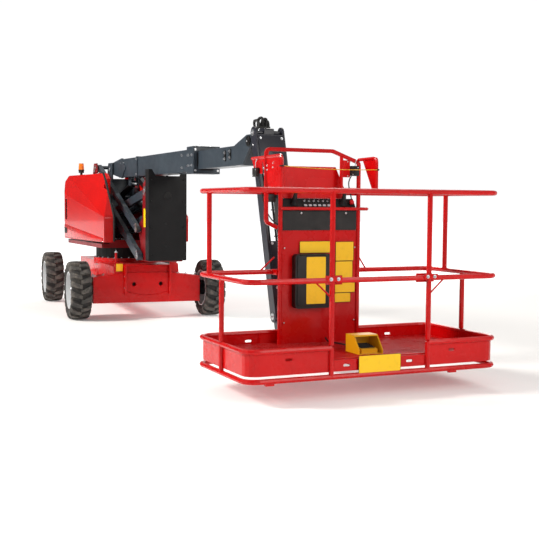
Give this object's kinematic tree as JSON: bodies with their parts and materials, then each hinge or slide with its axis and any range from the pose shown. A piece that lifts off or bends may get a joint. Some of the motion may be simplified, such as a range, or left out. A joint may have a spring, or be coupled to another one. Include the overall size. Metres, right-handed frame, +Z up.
{
  "type": "articulating boom lift",
  "caption": "Self-propelled articulating boom lift: slewing turret, stacked lifting arms, telescopic boom, jib and a railed work platform, stowed.",
  "frame": {"origin": "middle of the machine's footprint, on the ground", "axes": "+X from the counterweight to the platform, +Y to the machine's left, +Z up"},
  "size_m": [7.5164, 2.3044, 2.0029],
  "materials": {
    "black_paint": "satin",
    "black_plastic": "matte",
    "cast_iron": "matte",
    "chrome": "polished",
    "dark_red_paint": "satin",
    "grey_paint": "satin",
    "orange_lens": "gloss",
    "red_paint": "gloss",
    "rim_paint": "satin",
    "rubber": "matte",
    "yellow_paint": "satin"
  },
  "bodies": {
    "chassis": {"chassis": "red_paint", "right_axle_hub": "black_paint", "left_axle_hub": "black_paint"},
    "right_knuckle": {"right_steering_knuckle": "black_paint"},
    "left_knuckle": {"left_steering_knuckle": "black_paint"},
    "turret": {"slew_ring": "black_paint", "turret_frame": "dark_red_paint", "counterweight": "red_paint", "right_battery_pack": "cast_iron", "left_battery_pack": "cast_iron"},
    "right_hood": {"right_hood": "red_paint", "beacon_base": "black_plastic", "beacon_lens": "orange_lens"},
    "left_hood": {"left_hood": "red_paint"},
    "lower_arm": {"lower_arm": "grey_paint"},
    "lower_tie": {"lower_tie": "grey_paint"},
    "front_knuckle": {"front_knuckle": "dark_red_paint", "knuckle_cover": "black_paint"},
    "upper_arm": {"upper_arm": "grey_paint"},
    "upper_tie": {"upper_tie": "grey_paint"},
    "rear_knuckle": {"rear_knuckle": "grey_paint"},
    "arm_cylinder_barrel": {"arm_cylinder_barrel": "black_paint"},
    "arm_cylinder_rod": {"arm_cylinder_rod": "chrome"},
    "boom_cylinder_barrel": {"boom_cylinder_barrel": "black_paint"},
    "boom_cylinder_rod": {"boom_cylinder_rod": "chrome"},
    "boom": {"boom_outer": "grey_paint"},
    "boom_extension": {"boom_inner": "grey_paint"},
    "jib_head": {"jib_head": "grey_paint", "jib_hoses": "black_plastic"},
    "jib_arm": {"jib_arm": "grey_paint"},
    "jib_tie": {"jib_tie": "grey_paint"},
    "platform_support": {"platform_support": "grey_paint"},
    "platform": {"platform_tray": "red_paint", "platform_rails": "red_paint", "control_column": "red_paint", "control_console": "black_plastic", "console_shield": "red_paint", "guard_frame": "red_paint", "foot_switch": "yellow_paint", "document_box": "black_plastic"},
    "entry_bar": {"entry_bar": "red_paint"},
    "front_right_wheel": {"front_right_tyre": "rubber", "front_right_rim": "rim_paint"},
    "front_left_wheel": {"front_left_tyre": "rubber", "front_left_rim": "rim_paint"},
    "rear_right_wheel": {"rear_right_tyre": "rubber", "rear_right_rim": "rim_paint"},
    "rear_left_wheel": {"rear_left_tyre": "rubber", "rear_left_rim": "rim_paint"}
  },
  "joints": [
    {"name": "front_right_wheel_spin", "type": "hinge", "parent": "chassis", "child": "front_right_wheel", "pos_m": [-1.29817, -1.03818, 0.32], "axis": [0, 1, 0], "continuous": true},
    {"name": "right_steering", "type": "hinge", "parent": "chassis", "child": "right_knuckle", "pos_m": [-3.43817, -0.83318, 0.32], "axis": [0, 0, 1], "range_deg": [-28, 28]},
    {"name": "rear_right_wheel_spin", "type": "hinge", "parent": "right_knuckle", "child": "rear_right_wheel", "pos_m": [-3.43817, -1.03818, 0.32], "axis": [0, 1, 0], "continuous": true},
    {"name": "front_left_wheel_spin", "type": "hinge", "parent": "chassis", "child": "front_left_wheel", "pos_m": [-1.29817, 0.46182, 0.32], "axis": [0, 1, 0], "continuous": true},
    {"name": "left_steering", "type": "hinge", "parent": "chassis", "child": "left_knuckle", "pos_m": [-3.43817, 0.25682, 0.32], "axis": [0, 0, 1], "range_deg": [-28, 28]},
    {"name": "rear_left_wheel_spin", "type": "hinge", "parent": "left_knuckle", "child": "rear_left_wheel", "pos_m": [-3.43817, 0.46182, 0.32], "axis": [0, 1, 0], "continuous": true},
    {"name": "slew", "type": "hinge", "parent": "chassis", "child": "turret", "pos_m": [-2.36817, -0.28818, 0.76], "axis": [0, 0, 1], "range_deg": [-177, 177]},
    {"name": "right_hood_hinge", "type": "hinge", "parent": "turret", "child": "right_hood", "pos_m": [-2.34463, -0.58726, 1.63], "axis": [-0.9969, -0.0785, 0], "range_deg": [0, 60]},
    {"name": "left_hood_hinge", "type": "hinge", "parent": "turret", "child": "left_hood", "pos_m": [-2.39171, 0.01089, 1.63], "axis": [0.9969, 0.0785, 0], "range_deg": [0, 60]},
    {"name": "arm_lift", "type": "hinge", "parent": "turret", "child": "lower_arm", "pos_m": [-2.747, -0.318, 1.43], "axis": [0.0785, -0.9969, 0], "range_deg": [0, 72]},
    {"name": "lower_tie_swing", "type": "hinge", "parent": "turret", "child": "lower_tie", "pos_m": [-2.79685, -0.32192, 1.72], "axis": [0.0785, -0.9969, 0], "range_deg": [0, 72]},
    {"name": "front_knuckle_level", "type": "hinge", "parent": "lower_arm", "child": "front_knuckle", "pos_m": [-1.10209, -0.18854, 0.7], "axis": [0.0785, -0.9969, 0], "range_deg": [-72, 0]},
    {"name": "upper_arm_swing", "type": "hinge", "parent": "front_knuckle", "child": "upper_arm", "pos_m": [-1.01236, -0.18148, 1.43], "axis": [0.0785, -0.9969, 0], "range_deg": [-72, 0]},
    {"name": "upper_tie_swing", "type": "hinge", "parent": "front_knuckle", "child": "upper_tie", "pos_m": [-1.01236, -0.18148, 1.17], "axis": [0.0785, -0.9969, 0], "range_deg": [-72, 0]},
    {"name": "rear_knuckle_level", "type": "hinge", "parent": "upper_arm", "child": "rear_knuckle", "pos_m": [-2.60743, -0.30701, 1.15], "axis": [0.0785, -0.9969, 0], "range_deg": [0, 72]},
    {"name": "arm_cylinder_swing", "type": "hinge", "parent": "front_knuckle", "child": "arm_cylinder_barrel", "pos_m": [-0.89273, -0.17206, 1.02], "axis": [0.0785, -0.9969, 0], "range_deg": [-50.56, 0]},
    {"name": "arm_cylinder_stroke", "type": "slide", "parent": "arm_cylinder_barrel", "child": "arm_cylinder_rod", "axis": [-0.9612, -0.0756, 0.2654], "range_m": [0, 0.27849]},
    {"name": "boom_lift", "type": "hinge", "parent": "rear_knuckle", "child": "boom", "pos_m": [-2.56756, -0.30388, 1.7], "axis": [0.0785, -0.9969, 0], "range_deg": [0, 70]},
    {"name": "boom_cylinder_swing", "type": "hinge", "parent": "rear_knuckle", "child": "boom_cylinder_barrel", "pos_m": [-2.57752, -0.30466, 1.36], "axis": [0.0785, -0.9969, 0], "range_deg": [0, 49.09]},
    {"name": "boom_cylinder_stroke", "type": "slide", "parent": "boom_cylinder_barrel", "child": "boom_cylinder_rod", "axis": [0.9595, 0.0755, 0.2713], "range_m": [0, 0.29502]},
    {"name": "telescope", "type": "slide", "parent": "boom", "child": "boom_extension", "axis": [0.9969, 0.0785, 0], "range_m": [0, 1.65]},
    {"name": "platform_level", "type": "hinge", "parent": "boom_extension", "child": "jib_head", "pos_m": [1.68928, 0.03114, 1.8], "axis": [0.0785, -0.9969, 0], "range_deg": [-70, 0]},
    {"name": "jib_lift", "type": "hinge", "parent": "jib_head", "child": "jib_arm", "pos_m": [1.83882, 0.04291, 1.86], "axis": [0.0785, -0.9969, 0], "range_deg": [0, 128]},
    {"name": "jib_tie_swing", "type": "hinge", "parent": "jib_head", "child": "jib_tie", "pos_m": [1.81788, 0.04127, 1.662], "axis": [0.0785, -0.9969, 0], "range_deg": [0, 128]},
    {"name": "platform_support_level", "type": "hinge", "parent": "jib_arm", "child": "platform_support", "pos_m": [2.25752, 0.07587, 0.39], "axis": [0.0785, -0.9969, 0], "range_deg": [-128, 0]},
    {"name": "platform_rotate", "type": "hinge", "parent": "platform_support", "child": "platform", "pos_m": [2.54663, 0.09862, 0.3], "axis": [0, 0, 1], "range_deg": [-65, 65]},
    {"name": "entry_bar_hinge", "type": "hinge", "parent": "platform", "child": "entry_bar", "pos_m": [3.64704, 0.50621, 0.785], "axis": [-0.9969, -0.0785, 0], "range_deg": [0, 50]}
  ],
  "couplings": [
    {"joint": "left_steering", "follows": "right_steering", "ratio": 1},
    {"joint": "lower_tie_swing", "follows": "arm_lift", "ratio": 1},
    {"joint": "front_knuckle_level", "follows": "arm_lift", "ratio": -1},
    {"joint": "upper_arm_swing", "follows": "arm_lift", "ratio": -1},
    {"joint": "upper_tie_swing", "follows": "arm_lift", "ratio": -1},
    {"joint": "rear_knuckle_level", "follows": "arm_lift", "ratio": 1},
    {"joint": "arm_cylinder_swing", "follows": "arm_lift", "ratio": -0.70227},
    {"joint": "arm_cylinder_stroke", "follows": "arm_lift", "m_per_rad": 0.22162},
    {"joint": "boom_cylinder_swing", "follows": "boom_lift", "ratio": 0.70127},
    {"joint": "boom_cylinder_stroke", "follows": "boom_lift", "m_per_rad": 0.24148},
    {"joint": "platform_level", "follows": "boom_lift", "ratio": -1},
    {"joint": "jib_tie_swing", "follows": "jib_lift", "ratio": 1},
    {"joint": "platform_support_level", "follows": "jib_lift", "ratio": -1}
  ]
}
